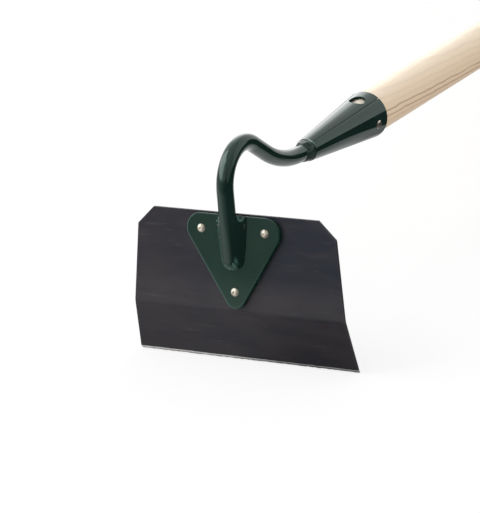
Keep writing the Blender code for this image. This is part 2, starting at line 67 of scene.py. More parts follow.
# Blade: one sheet of dark tempered steel, sheared to shape with its two upper corners cut off, bent
# once across its width and ground to a bright edge on its outer face. It is riveted to the plate.
BLADE_WIDTH = 0.1779
BLADE_TOP_WIDTH = 0.1572
BLADE_LOWER = 0.0420
BLADE_BEND_RADIUS = 0.014
BLADE_THICKNESS = 0.0022
BLADE_DROP = 0.111
CORNER_CUT_WIDTH = 0.0123
CORNER_CUT_HEIGHT = 0.0130
GROUND_WIDTH = 0.0032
EDGE_LAND = 0.0005
BLADE_COLUMNS = 150
GROUND_ROWS = 4


def bent_line(corners, radii, step):
    """Straight runs between the corners, each inner corner rounded by an arc of its radius, as points
    about one step apart. An arc starts radius times tan(half its turn) before its corner."""
    corners = [np.array(corner, float) for corner in corners]
    runs = []
    start = corners[0]
    for before, corner, after, radius in zip(corners, corners[1:], corners[2:], radii):
        into = (corner - before) / np.linalg.norm(corner - before)
        out = (after - corner) / np.linalg.norm(after - corner)
        turn = math.atan2(into[0] * out[1] - into[1] * out[0], into @ out)
        end = corner - into * radius * math.tan(abs(turn) / 2)
        count = max(1, round(np.linalg.norm(end - start) / step))
        runs.append(start + (end - start) * np.linspace(0, 1, count, endpoint=False)[:, None])
        start = end
        if abs(turn) > 1e-6 and radius > 0:
            aside = np.array([-into[1], into[0]]) * math.copysign(radius, turn)
            angles = turn * np.linspace(0, 1, max(2, round(abs(turn) * radius / step)) + 1)
            arms = np.outer(np.cos(angles), -aside) + np.outer(np.sin(angles), [aside[1], -aside[0]])
            runs.append(end + aside + arms[:-1])
            start = end + aside + arms[-1]
    count = max(1, round(np.linalg.norm(corners[-1] - start) / step))
    runs.append(start + (corners[-1] - start) * np.linspace(0, 1, count + 1)[:, None])
    return np.vstack(runs)


def across(path):
    """The unit vector square to a flat path at each point: its direction of travel turned left."""
    way = np.gradient(path, axis=0)
    way /= np.linalg.norm(way, axis=1)[:, None]
    return np.stack([-way[:, 1], way[:, 0]], axis=1)


def grid_faces(rows, columns, rows_meet=False, columns_meet=False):
    """The faces between neighbouring rows and columns of points that are stored row by row."""
    i, j = np.meshgrid(np.arange(rows if rows_meet else rows - 1),
                       np.arange(columns if columns_meet else columns - 1), indexing="ij")
    k = (i + 1) % rows
    m = (j + 1) % columns
    corners = [i * columns + j, i * columns + m, k * columns + m, k * columns + j]
    return np.stack([corner.ravel() for corner in corners], axis=1)


def uneven(points, size, seed, waves=28):
    """A smooth uneven field of about -1 to 1: the sum of cosines along random directions, whose
    wavelengths lie round this size."""
    rng = np.random.default_rng(seed)
    ways = rng.normal(size=(waves, 3))
    ways /= np.linalg.norm(ways, axis=1)[:, None]
    lengths = size * rng.uniform(0.6, 1.7, waves)
    phases = rng.uniform(0, 2 * math.pi, waves)
    turns = points @ (ways * 2 * math.pi / lengths[:, None]).T + phases
    return np.cos(turns).sum(axis=-1) / math.sqrt(waves)


def add(name, data):
    """An object with this name and data, in the scene."""
    added = bpy.data.objects.new(name, data)
    bpy.context.scene.collection.objects.link(added)
    return added


def forge(name, points, faces, finish, place=HEAD, sharp=40.0, rounding=0.0, wear_and_painted_light=None):
    """A closed mesh with its place in its points, doubles merged, all faces outwards, smooth up to the
    sharp angle in degrees, and its sharp edges rounded by a small bevel. The wear_and_painted_light
    numbers, one at each point, are read by the material: up to 1 where enamel is paler from thin
    enamel and from painted highlights, and where steel is brown in its hollows and darkened as painted
    shade; below 0 where enamel is matt."""
    mesh = bpy.data.meshes.new(name)
    mesh.from_pydata(to_ground(points.reshape(-1, 3), place), [], [list(face) for face in faces])
    if wear_and_painted_light is not None:
        kept = mesh.attributes.new("wear_and_painted_light", "FLOAT", "POINT")
        kept.data.foreach_set("value", wear_and_painted_light.ravel().astype(np.float32))
    shell = bmesh.new()
    shell.from_mesh(mesh)
    bmesh.ops.remove_doubles(shell, verts=shell.verts, dist=0.000002)
    bmesh.ops.recalc_face_normals(shell, faces=shell.faces)
    shell.to_mesh(mesh)
    shell.free()
    mesh.shade_smooth()
    mesh.set_sharp_from_angle(angle=math.radians(sharp))
    mesh.materials.append(finish)
    piece = add(name, mesh)
    if rounding:
        bevel = piece.modifiers.new("worn_edges", "BEVEL")
        bevel.width = rounding
        bevel.segments = 2
        bevel.limit_method = "ANGLE"
        bevel.angle_limit = math.radians(sharp)
        bevel.harden_normals = True
    return piece


class Grade:
    """A number or colour that varies over a surface. The operators on numbers add Math nodes."""

    def __init__(self, finish, socket):
        self.finish = finish
        self.socket = socket

    def maths(self, operation, *others):
        return self.finish.node("Math", dict(enumerate([self, *others])), operation=operation)

    def __add__(self, other):
        return self.maths("ADD", other)

    __radd__ = __add__

    def __sub__(self, other):
        return self.maths("SUBTRACT", other)

    def __rsub__(self, other):
        return self.finish.node("Math", {0: other, 1: self}, operation="SUBTRACT")

    def __mul__(self, other):
        return self.maths("MULTIPLY", other)

    def abs(self):
        return self.maths("ABSOLUTE")

    def larger(self, other):
        return self.maths("MAXIMUM", other)

    def ramp(self, low, high):
        """0 below low, 1 above high and a smooth step between them; low may be the larger."""
        return self.finish.node("MapRange", {"Value": self, "From Min": low, "From Max": high},
                                interpolation_type="SMOOTHSTEP")


class Finish:
    """A material or a world in the making; node() adds any node, and its shader takes the results."""

    def __init__(self, name, family=bpy.data.materials, shader="Principled BSDF", **constants):
        self.made = family.new(name)
        self.made.use_nodes = True
        self.tree = self.made.node_tree
        self.shader = self.tree.nodes[shader]
        self.set(**constants)

    def node(self, kind, inputs=None, output=0, **settings):
        """Adds a node, with its settings and the values of its sockets."""
        node = self.tree.nodes.new("ShaderNode" + kind)
        for key, value in settings.items():
            setattr(node, key, value)
        for key, value in (inputs or {}).items():
            self.feed(node.inputs[key], value)
        return Grade(self, node.outputs[output])

    def feed(self, socket, value):
        if isinstance(value, Grade):
            self.tree.links.new(value.socket, socket)
        elif socket.type == "RGBA" and len(value) == 3:
            socket.default_value = (*value, 1.0)
        else:
            socket.default_value = value

    def set(self, **grades):
        for socket, value in grades.items():
            self.feed(self.shader.inputs[socket.replace("_", " ")], value)

    def placed(self, place, stretch=(1.0, 1.0, 1.0)):
        """Object coordinates in a local frame of the row frame, each axis multiplied by its stretch."""
        back = place.inverted()
        local = self.node("Mapping", {"Vector": self.node("TexCoord", output="Object"),
                                      "Location": back.translation, "Rotation": back.to_euler("XYZ")})
        return self.node("VectorMath", {0: local, 1: stretch}, operation="MULTIPLY")

    def split(self, vector):
        """The three numbers of a vector."""
        parts = self.node("SeparateXYZ", {"Vector": vector})
        return [Grade(self, socket) for socket in parts.socket.node.outputs]

    def noise(self, vector, scale, detail, rough, warp=0.0):
        return self.node("TexNoise", {"Vector": vector, "Scale": scale, "Detail": detail,
                                      "Roughness": rough, "Distortion": warp})

    def mix(self, share, first, second):
        """The first colour where share is 0 and the second where it is 1."""
        return self.node("Mix", {0: share, 6: first, 7: second}, 2, data_type="RGBA")

    def layered(self, colour, *coats):
        """A colour with coats of (share, colour) over it, each mixed into what lies below."""
        for share, coat in coats:
            colour = self.mix(share, colour, coat)
        return colour

    def wear_and_painted_light(self):
        """The number that the mesh keeps at each point under this name."""
        return self.node("Attribute", output="Fac", attribute_name="wear_and_painted_light")

    def bump(self, height, distance, strength):
        """A normal from a height in units of distance, in metres."""
        return self.node("Bump", {"Height": height, "Distance": distance, "Strength": strength})


def tempered_steel():
    """Dark oxide with streaks along the blade, warm and cool patches, a painted sheen just above the bend,
    a paler painted reflection of the white table below it, and bare ground steel along the edge with a
    painted glint along its crest."""
    finish = Finish("blued_steel", Specular_IOR_Level=0.32)
    head = finish.placed(HEAD)
    along, through, up = finish.split(head)
    rolled = finish.placed(HEAD, (0.10, 1.0, 1.0))
    streaks = finish.noise(rolled, 520.0, 4.0, 0.62)
    wisps = finish.noise(rolled, 250.0, 3.0, 0.55, 0.4)
    smears = finish.noise(finish.placed(HEAD, (0.30, 1.0, 1.0)), 75.0, 2.0, 0.5)
    cloud = finish.noise(head, 22.0, 3.0, 0.5)
    grain = finish.noise(head, 2600.0, 2.0, 0.6)
    side = finish.node("MapRange", {"Value": along, "From Min": -0.09, "From Max": 0.09})
    # Painted light, mixed into the oxide colour: a lighter sheen just above the bend, and under the bend a
    # paler tone, stronger to the right, that paints the white table's reflection
    painted_bend_sheen = up.ramp(-0.040, -0.062) * up.ramp(-0.0735, -0.0695)
    painted_table_reflection = up.ramp(-0.0700, -0.0740)
    from_side = along.abs() - BLADE_TOP_WIDTH / 2 + up * ((BLADE_WIDTH - BLADE_TOP_WIDTH) / 2 / BLADE_DROP)
    rubbed = from_side.ramp(-0.0012, -0.0002) * grain.ramp(0.35, 0.65)
    warm_left = (0.0222, 0.0196, 0.0262)
    cool_right = (0.0135, 0.0172, 0.0262)
    oxide = finish.layered(
        warm_left, ((side + (cloud - 0.5) * 1.6).ramp(0.0, 1.0), cool_right),
        (painted_bend_sheen * 0.75, (0.0430, 0.0385, 0.0430)),
        (painted_table_reflection * (0.55 + side * 0.40), (0.0360, 0.0320, 0.0375)),
        (smears.ramp(0.48, 0.68) * 0.30, (0.047, 0.037, 0.042)),
        (smears.ramp(0.50, 0.32) * 0.30, (0.0120, 0.0130, 0.0200)),
        (wisps.ramp(0.61, 0.76) * 0.75, (0.068, 0.056, 0.064)),
        (streaks.ramp(0.55, 0.80) * 0.40, (0.050, 0.046, 0.052)),
        (streaks.ramp(0.45, 0.20) * 0.45, (0.009, 0.009, 0.012)),
        (rubbed * 0.35, (0.085, 0.080, 0.085)))
    ragged = up + (streaks - 0.5) * 0.0010 + (grain - 0.5) * 0.0007
    edge_line = -BLADE_UPPER - (BLADE_LOWER - GROUND_WIDTH) * math.cos(BLADE_BEND)
    ground = ragged.ramp(edge_line + 0.0002, edge_line - 0.0002) * through.ramp(0.0137, 0.0131)
    # Painted highlight: a near-white glint line along the crest of the ground edge, carried in the bare
    # steel's colour
    painted_crest_glint = (ragged - edge_line).ramp(-0.0013, -0.0005)
    scratched = (streaks * 0.5 + grain * 0.5).ramp(0.35, 0.62)
    bare = finish.layered((0.170, 0.165, 0.158), (scratched, (0.560, 0.555, 0.545)),
                          (painted_crest_glint * grain.ramp(0.30, 0.50), (0.97, 0.965, 0.95)))
    finish.set(Base_Color=finish.mix(ground, oxide, bare),
               Metallic=0.15 + ground * 0.45,
               Roughness=0.44 + (streaks - 0.5) * 0.25 - ground * 0.12,
               Normal=finish.bump(streaks + grain * 0.35 + cloud * 1.5, 0.00006, 0.55))
    return finish.made


def blade_rows():
    """The outer face from top to edge in the side view, and the inner face point for point."""
    fall = np.array([math.sin(BLADE_BEND), -math.cos(BLADE_BEND)])
    inward = np.array([math.cos(BLADE_BEND), math.sin(BLADE_BEND)])
    bend = np.array([0.0, -BLADE_UPPER])
    edge = bend + fall * BLADE_LOWER
    outer = bent_line([(0.0, 0.0), (0.0, -CORNER_CUT_HEIGHT), bend, edge - fall * GROUND_WIDTH],
                      [0.0, BLADE_BEND_RADIUS], 0.0014)
    inner = outer + across(outer) * BLADE_THICKNESS
    share = np.linspace(0, 1, GROUND_ROWS + 1)[1:, None]
    land = edge + inward * (BLADE_THICKNESS - EDGE_LAND)
    ground = outer[-1] + (land - outer[-1]) * share
    behind = inner[-1] + fall * GROUND_WIDTH * share
    return np.vstack([outer, ground]), np.vstack([inner, behind])


def half_width(height):
    """Half the blade's width at a height seen from the front: the cut corner, then a straight flare."""
    flare = (BLADE_WIDTH - BLADE_TOP_WIDTH) / 2 / (BLADE_UPPER + BLADE_LOWER)
    foot = BLADE_UPPER + (-height - BLADE_UPPER) / math.cos(BLADE_BEND)
    down = np.where(-height > BLADE_UPPER, foot, -height)
    cut = CORNER_CUT_WIDTH + flare * CORNER_CUT_HEIGHT
    corner = np.clip((CORNER_CUT_HEIGHT + height) / CORNER_CUT_HEIGHT, 0, 1) * cut
    return BLADE_TOP_WIDTH / 2 + flare * np.maximum(down, CORNER_CUT_HEIGHT) - corner


outer_side, inner_side = blade_rows()
loop = np.vstack([outer_side, inner_side[::-1]])
span = np.linspace(-1, 1, BLADE_COLUMNS)
x = half_width(loop[:, 1])[:, None] * span
surface = np.stack([x, loop[:, :1] + 0 * x, loop[:, 1:] + 0 * x], axis=-1)
rows = len(outer_side)
# The grinder's line wavers, and the burr leaves the edge ragged
burr = uneven(surface[rows - 1] * [1, 0, 0], 0.0035, 3)
fine_burr = uneven(surface[rows - 1] * [1, 0, 0], 0.0011, 4)
line = rows - 1 - GROUND_ROWS
surface[line, :, 2] += 0.00014 * burr + 0.00010 * fine_burr
surface[rows - 1:rows + 1, :, 2] += np.maximum(0.00024 + 0.00012 * burr + 0.00008 * fine_burr, 0.00006)
strips = grid_faces(2 * rows, BLADE_COLUMNS, rows_meet=True)
down = np.arange(rows - 1)
ends = np.stack([down, down + 1, 2 * rows - 2 - down, 2 * rows - 1 - down], axis=1) * BLADE_COLUMNS
blade = forge("hoe_blade", surface, np.vstack([strips, ends, ends + BLADE_COLUMNS - 1]), tempered_steel(),
              rounding=0.00022)
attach(blade, "root")
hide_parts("blade")


# Mounting plate: a thick steel triangle with rounded corners, stamped so that its front edge is
# rounded over, and enamelled with the head. It lies on the blade's outer face.
PLATE_WIDTH = 0.0752
PLATE_HEIGHT = 0.0684
PLATE_SHOULDER_RADIUS = 0.0118
PLATE_TIP_RADIUS = 0.0084
PLATE_DROP = 0.0004
PLATE_FRONT = -0.0033
PLATE_EDGE_ROUND = 0.0010
PLATE_RINGS = 26
PLATE_STEP = 0.0009


def green_enamel(name, dark, pale, lumps=0.0, dull=0.0, gloss=0.5):
    """Glossy dark green enamel: a slightly wavy skin with a few dust specks, paler up to near white where
    the mesh marks thin enamel and where it marks painted highlights. Its pigment lies so close under the
    skin that it tints the gloss too."""
    finish = Finish(name, IOR=1.52, Specular_IOR_Level=gloss, Specular_Tint=(0.77, 1.0, 0.93, 1.0))
    head = finish.placed(HEAD)
    cloud = finish.noise(head, 45.0, 3.0, 0.55)
    peel = finish.noise(head, 900.0, 2.0, 0.5)
    speck = finish.noise(head, 2100.0, 1.0, 0.5)
    wear_and_painted_light = finish.wear_and_painted_light()
    green = finish.layered(
        dark, (cloud.ramp(0.30, 0.72), pale),
        (speck.ramp(0.74, 0.80) * 0.5, (0.045, 0.068, 0.058)),
        # Thin enamel and painted highlights, where the mesh marks them, make the green paler, up to near
        # white
        (wear_and_painted_light.ramp(0.0, 0.03) * 0.035, (0.0, 0.450, 0.300)),
        (wear_and_painted_light * (0.6 + speck * 0.6), (0.225, 0.375, 0.320)),
        (wear_and_painted_light.ramp(0.55, 1.10) * 0.80, (0.640, 0.690, 0.660)))
    rough = 0.045 + cloud.ramp(0.35, 0.75) * 0.04 + speck.ramp(0.70, 0.80) * 0.15
    finish.set(Base_Color=green,
               Roughness=rough + wear_and_painted_light.abs() * 0.40 + dull,
               Normal=finish.bump(peel + cloud * 3.0 + speck * lumps, 0.00003, 0.30))
    return finish.made


def wrapped(circles, step):
    """The line that wraps round circles (x, z, radius), and its outward normal, both at every step:
    an arc on each circle, joined by straight runs that touch both circles."""
    points = []
    normals = []
    turns = []
    following = circles[1:] + circles[:1]
    for circle, after in zip(circles, following):
        run = np.array(after[:2]) - circle[:2]
        turns.append(math.atan2(run[1], run[0]) - math.pi / 2
                     + math.asin((circle[2] - after[2]) / np.linalg.norm(run)))
    for i, (circle, after) in enumerate(zip(circles, following)):
        sweep = (turns[i] - turns[i - 1]) % (2 * math.pi)
        angles = turns[i - 1] + np.linspace(0, sweep, max(3, round(sweep * circle[2] / step)))
        normal = np.stack([np.cos(angles), np.sin(angles)], axis=1)
        arc = circle[:2] + circle[2] * normal
        run = after[:2] + after[2] * normal[-1] - arc[-1]
        pieces = round(np.linalg.norm(run) / step)
        points += [arc, arc[-1] + run * (np.arange(1, pieces) / pieces)[:, None]]
        normals += [normal, np.repeat(normal[-1:], pieces - 1, axis=0)]
    return np.vstack(points), np.vstack(normals)


def tube(surface, *poles):
    """Rings of points that close on themselves, with a pole beyond each end: the points, and the faces
    between the rings and from each end ring to its pole."""
    rows, columns = surface.shape[:2]
    points = np.vstack([surface.reshape(-1, 3), *poles])
    faces = grid_faces(rows, columns, columns_meet=True).tolist()
    for ring, pole in ((0, len(points) - 2), ((rows - 1) * columns, len(points) - 1)):
        faces += [[ring + a, ring + (a + 1) % columns, pole] for a in range(columns)]
    return points, faces


shoulder_x = PLATE_WIDTH / 2 - PLATE_SHOULDER_RADIUS
shoulder_z = -PLATE_DROP - PLATE_SHOULDER_RADIUS
tip_z = -PLATE_DROP - PLATE_HEIGHT + PLATE_TIP_RADIUS
rim, outwards = wrapped([(shoulder_x, shoulder_z, PLATE_SHOULDER_RADIUS),
                         (-shoulder_x, shoulder_z, PLATE_SHOULDER_RADIUS),
                         (0.0, tip_z, PLATE_TIP_RADIUS)], PLATE_STEP)
arc = np.linspace(0, math.pi / 2, 7)
inset = np.concatenate([[0.0, 0.0], PLATE_EDGE_ROUND * (1 - np.cos(arc))])
depth = np.concatenate([[0.0, PLATE_FRONT / 3], PLATE_FRONT + PLATE_EDGE_ROUND * (1 - np.sin(arc))])
# Along the top the edge is crisp, and the shears have drawn it in towards the back
top_share = np.clip(outwards[:, 1], 0, 1) ** 4
inset = inset[:, None] * (1 - 0.75 * top_share)
inset += np.clip(1 + depth / -PLATE_FRONT, 0, 1)[:, None] * 0.0011 * top_share
wall = rim[None] - outwards[None] * inset[..., None]
middle = np.array([0.0, -0.0270])
shrink = (1 - np.linspace(0, 1, PLATE_RINGS)[1:-1])[:, None, None]
face = middle + (wall[-1] - middle) * shrink
back = middle + (wall[0] - middle) * shrink[::-1]
plate_rows = np.vstack([back, wall, face])
heights = np.concatenate([np.zeros(len(back)), depth, np.full(len(face), PLATE_FRONT)])
heights = heights[:, None] + 0 * plate_rows[..., 0]
surface = np.stack([plate_rows[..., 0], heights, plate_rows[..., 1]], axis=-1)
points, faces = tube(surface, [middle[0], 0.0, middle[1]], [middle[0], PLATE_FRONT, middle[1]])
plate_enamel = green_enamel("green_enamel_on_plate", (0.0046, 0.0228, 0.0142), (0.0070, 0.0282, 0.0182))
# Painted highlight: the rounded front edge is paler on the left and round the tip, the side that the lamp on
# the left lights
painted_left_rim_highlight = np.sin(np.linspace(0, math.pi, len(arc)))[:, None] * np.clip(0.25 - outwards[:, 0], 0, 1)
wear_and_painted_light = np.zeros(plate_rows.shape[:2])
wear_and_painted_light[len(back) + 2:len(back) + len(wall)] = 0.36 * painted_left_rim_highlight
wear_and_painted_light = np.append(wear_and_painted_light.ravel(), [0.0, 0.0])
plate = forge("hoe_mounting_plate", points, faces, plate_enamel, sharp=50.0, wear_and_painted_light=wear_and_painted_light)
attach(plate, "root")
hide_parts("mounting_plate")


# Blade rivets: three bare steel rivets through plate and blade, with domed heads that the rivet set
# has dimpled in the middle, and flattened tails on the inner face.
RIVET_SPREAD = 0.0510
RIVET_SHOULDER_DROP = 0.0118
RIVET_TIP_DROP = 0.0563
RIVET_HEAD_DIAMETER = 0.0064
RIVET_HEAD_HEIGHT = 0.0021
RIVET_DIMPLE_RADIUS = 0.0008
RIVET_DIMPLE_DEPTH = 0.00035
RIVET_SHANK_DIAMETER = 0.0038
RIVET_TAIL_DIAMETER = 0.0058
RIVET_TAIL_HEIGHT = 0.0013
RIVET_COLUMNS = 48


def satin_steel(name, bright, dull, rough, metal):
    """Bare steel rubbed to a satin and scratched by the set, browned in its hollows and darkened with
    painted shade where the mesh marks it.
    """
    finish = Finish(name, Metallic=metal)
    head = finish.placed(HEAD)
    mottle = finish.noise(head, 420.0, 3.0, 0.6)
    scratch = finish.noise(finish.placed(HEAD, (1.0, 1.0, 0.2)), 2600.0, 2.0, 0.5)
    clean = (mottle * 0.7 + scratch * 0.3).ramp(0.36, 0.56) * (1.0 - finish.wear_and_painted_light())
    finish.set(Base_Color=finish.mix(clean, dull, bright),
               Roughness=rough + (mottle - 0.5) * 0.25,
               Normal=finish.bump(scratch + mottle * 1.5, 0.00004, 0.45))
    return finish.made


def turned(profile, columns):
    """A profile of (radius, height) points carried round local Z in this many columns. Its first and
    last points lie on the axis."""
    turn = np.linspace(0, 2 * math.pi, columns, endpoint=False)
    radius = profile[1:-1, :1]
    surface = np.stack([radius * np.cos(turn), radius * np.sin(turn), profile[1:-1, 1:] + 0 * turn], axis=-1)
    return tube(surface, [0.0, 0.0, profile[0, 1]], [0.0, 0.0, profile[-1, 1]])


def dome(radius, height, count):
    """The profile of a spherical dome from its crown to its rim."""
    sphere = (radius ** 2 + height ** 2) / (2 * height)
    angle = np.linspace(0, math.asin(radius / sphere), count)
    return np.stack([sphere * np.sin(angle), height - sphere * (1 - np.cos(angle))], axis=1)


def bell(offset, width, power=2):
    """1 at no offset and 1/e at the width; a higher power makes it flatter inside and steeper there."""
    return np.exp(-(offset / width) ** power)


head_profile = dome(RIVET_HEAD_DIAMETER / 2, RIVET_HEAD_HEIGHT, 26)
head_profile[:, 1] -= RIVET_DIMPLE_DEPTH * bell(head_profile[:, 0], RIVET_DIMPLE_RADIUS, 4)
head_profile[:, 1] -= PLATE_FRONT
shank_radius = RIVET_SHANK_DIAMETER / 2
tail_radius = RIVET_TAIL_DIAMETER / 2
tail_top = -BLADE_THICKNESS
tail_end = tail_top - RIVET_TAIL_HEIGHT
tail_profile = np.array([[shank_radius, -PLATE_FRONT], [shank_radius, tail_top], [tail_radius, tail_top],
                         [tail_radius, tail_top - 0.0006], [tail_radius - 0.0002, tail_top - 0.0010],
                         [tail_radius - 0.0008, tail_end], [0.0008, tail_end], [0.0, tail_end]])
rivet_profile = np.vstack([head_profile, tail_profile])
FACE = Matrix(((1, 0, 0, 0), (0, 0, -1, 0), (0, 1, 0, 0), (0, 0, 0, 1)))
rivet_steel = satin_steel("rivet_steel", (0.74, 0.69, 0.58), (0.34, 0.29, 0.22), 0.42, 0.55)
for name, x, z, seed in (("rivet_left", -RIVET_SPREAD / 2, -RIVET_SHOULDER_DROP, 11),
                         ("rivet_right", RIVET_SPREAD / 2, -RIVET_SHOULDER_DROP, 12),
                         ("rivet_tip", 0.0, -RIVET_TIP_DROP, 13)):
    points, faces = turned(rivet_profile, RIVET_COLUMNS)
    points[:, 2] += np.where(points[:, 2] > -PLATE_FRONT, 0.00006 * uneven(points, 0.003, seed), 0.0)
    off_axis = np.hypot(points[:, 0], points[:, 1])
    # The dimple's hollow is browned, and the head's rim, where it meets the plate, is darkened with painted
    # shade
    wear_and_painted_light = bell(off_axis, 0.8 * RIVET_DIMPLE_RADIUS, 4) + np.clip((off_axis - 0.0028) / 0.0004, 0, 1)
    place = HEAD @ Matrix.Translation((x, 0.0, z)) @ FACE
    rivet = forge("hoe_" + name, points, faces, rivet_steel, place, sharp=50.0, wear_and_painted_light=wear_and_painted_light)
    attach(rivet, "root")
    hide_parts(name)


# Swan neck: one round steel rod, bent hot over a former. Its straight foot leans a little off the
# plate and is ground flat where it lies on it; the rest goes over an arch and down into the ferrule.
ROD_DIAMETER = 0.0121
FOOT_LENGTH = 0.0370
FOOT_LEAN = math.radians(6.5)
FOOT_STANDOFF = 0.0007
ARCH_RISE = 0.0479
ARCH_RADIUS = 0.0276
NECK_DESCENT = math.radians(28.0)
VALLEY_RADIUS = 0.0960
NECK_INSERT = 0.0180
THROAT = np.array([0.1086, 0.0249])
FERRULE_PITCH = math.radians(5.4)
ROD_RADIUS = ROD_DIAMETER / 2
NECK_COLUMNS = 72
FERRULE_WAY = np.array([math.cos(FERRULE_PITCH), math.sin(FERRULE_PITCH)])


def foot_centre(height):
    """The foot's centre line in the side view: it nears the plate towards its end."""
    return np.array([PLATE_FRONT - FOOT_STANDOFF - ROD_RADIUS - height * math.tan(FOOT_LEAN), height])


def meeting(point_a, way_a, point_b, way_b):
    """Where two flat lines cross: each line's point plus its way times what solves both."""
    return point_a + way_a * np.linalg.solve(np.stack([way_a, -way_b], axis=1), point_b - point_a)[0]


def neck_line():
    """The neck's centre line in the side view: up the foot, round the arch, whose centre lies one
    radius from the foot's line and one below its crown, and down through the valley to the cone."""
    up = np.array([-math.sin(FOOT_LEAN), math.cos(FOOT_LEAN)])
    down = np.array([math.cos(NECK_DESCENT), -math.sin(NECK_DESCENT)])
    beside = foot_centre(0.0) + np.array([math.cos(FOOT_LEAN), math.sin(FOOT_LEAN)]) * ARCH_RADIUS
    centre = beside + up * ((ARCH_RISE - ARCH_RADIUS - beside[1]) / up[1])
    brow = centre + np.array([math.sin(NECK_DESCENT), math.cos(NECK_DESCENT)]) * ARCH_RADIUS
    arch = meeting(foot_centre(0.0), up, brow, down)
    valley = meeting(brow, down, THROAT, FERRULE_WAY)
    corners = [foot_centre(-FOOT_LENGTH), arch, valley, THROAT + FERRULE_WAY * NECK_INSERT]
    return bent_line(corners, [ARCH_RADIUS, VALLEY_RADIUS], 0.0011)


enamel = green_enamel("green_enamel", (0.0072, 0.0202, 0.0158), (0.0090, 0.0240, 0.0194))
line = neck_line()
side = across(line)
turn = np.linspace(0, 2 * math.pi, NECK_COLUMNS, endpoint=False)
# The weld has melted the rod's lower end round
swell = np.sqrt(1 - (1 - np.clip(np.arange(len(line)) / 4.0, 0, 1)) ** 2)
line = np.vstack([line, line[-1:]])
side = np.vstack([side, side[-1:]])
ring = (ROD_RADIUS - 0.00003) * np.append(swell, 0.0)[:, None]
surface = np.stack([(ring + 0.00011) * np.cos(turn),
                    line[:, :1] + side[:, :1] * ring * np.sin(turn),
                    line[:, 1:] + side[:, 1:] * ring * np.sin(turn)], axis=-1)
on_plate = surface[..., 2] < 0.0
surface[..., 1] = np.where(on_plate, np.minimum(surface[..., 1], PLATE_FRONT), surface[..., 1])
faces = grid_faces(len(line), NECK_COLUMNS, columns_meet=True)
neck = forge("hoe_swan_neck", surface, faces, enamel, sharp=60.0)
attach(neck, "root")
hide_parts("swan_neck")


# Weld at the foot: one run of weld down the left side of the neck's foot, round its end and up the
# right side, laid by hand: rippled, lumpy at the tip, with a crater where it stops. Enamelled over.
FOOT_WELD_TOP = -0.0006
FOOT_WELD_TURN = -0.0327
TURN_SHARE = 0.16
FOOT_WELD_STEPS = 560
FOOT_WELD_COLUMNS = 56

welded_enamel = green_enamel("green_enamel_on_weld", (0.0076, 0.0202, 0.0160), (0.0094, 0.0240, 0.0196), 0.3)
travel = np.linspace(-1, 1, FOOT_WELD_STEPS)
# Travel runs along the sides where its size is above the turn's share, and round the end below that
bow = np.clip(travel / TURN_SHARE, -1, 1) * math.pi / 2
rise = np.clip((np.abs(travel) - TURN_SHARE) / (1 - TURN_SHARE), 0, 1)
along_z = FOOT_WELD_TURN + (FOOT_WELD_TOP - FOOT_WELD_TURN) * rise
toe_left = np.interp(rise, [0, 0.10, 0.30, 0.62, 0.86, 0.96, 1.0],
                     [0.0082, 0.0091, 0.0107, 0.0123, 0.0128, 0.0116, 0.0075])
toe_right = np.interp(rise, [0, 0.10, 0.30, 0.62, 0.84, 0.97, 1.0],
                      [0.0081, 0.0091, 0.0103, 0.0111, 0.0116, 0.0113, 0.0104])
toe = np.where(travel < 0, toe_left, toe_right) - 0.0008 * np.cos(bow)
toe_x = toe * np.sin(bow) + 0.0008 * np.cos(bow)
toe_z = along_z - toe * np.cos(bow)
# Seen along the rod, the weld ends on it this far round from its side to its front
climb_left = np.interp(-travel, [0, TURN_SHARE, 0.30, 0.80, 0.92, 1.0], [1.55, 0.86, 0.74, 0.64, 0.35, 0.05])
climb_right = np.interp(travel, [0, TURN_SHARE, 0.30, 0.80, 1.0], [1.55, 0.86, 0.74, 0.64, 0.50])
climb = np.where(travel < 0, climb_left, climb_right)
seat_x = ROD_RADIUS * np.cos(climb) * np.sin(bow)
seat_z = along_z - 0.0018 * np.cos(bow)
rod_y = foot_centre(seat_z)[0]
seat_y = rod_y - ROD_RADIUS * np.sin(climb) + 0.00002
v = np.linspace(0, 1, FOOT_WELD_COLUMNS)
toe_line = np.stack([toe_x, PLATE_FRONT + 0 * toe_x, toe_z], axis=-1)
seat_line = np.stack([seat_x, seat_y, seat_z], axis=-1)
skin = toe_line[:, None] + (seat_line - toe_line)[:, None] * v[:, None]
# The left end of the run slopes down to the plate, and the right end hangs over at its top
late = np.clip((np.abs(travel) - 0.86) / 0.14, 0, 1)[:, None]
depth = PLATE_FRONT - skin[..., 1]
skin[..., 2] += late * np.where(travel[:, None] < 0, -0.45 * depth, 0.32 * depth - 0.0006)
leg = np.linalg.norm(seat_line - toe_line, axis=1)[:, None]
tall = PLATE_FRONT - seat_y
wide = np.hypot(toe_x - seat_x, toe_z - seat_z)
lean = np.hypot(tall, wide)
outward = np.stack([np.sin(bow) * tall / lean, -wide / lean, -np.cos(bow) * tall / lean], axis=-1)
hump = np.sin(np.pi * v)
tip_share = bell(travel, 0.15)[:, None]
left_share = np.clip(-travel / 0.3, 0, 1)[:, None]
ripple = 0.5 + 0.5 * np.cos(2 * math.pi * (np.abs(travel[:, None]) * 30 + 3.6 * (v - 0.5) ** 2))
low_left = np.clip(-travel / 0.2, 0, 1)[:, None] * (1 - rise[:, None])
lift = leg * (0.05 + 0.11 * tip_share + 0.08 * low_left) * hump ** 0.8
lift += hump * 0.00004 * (left_share + tip_share) * ripple
lift += hump * (0.00001 + 0.00008 * left_share + 0.00012 * tip_share) * uneven(skin, 0.0048, 21)
lift += hump * (0.00002 * left_share + 0.00006 * tip_share) * uneven(skin, 0.0020, 22)
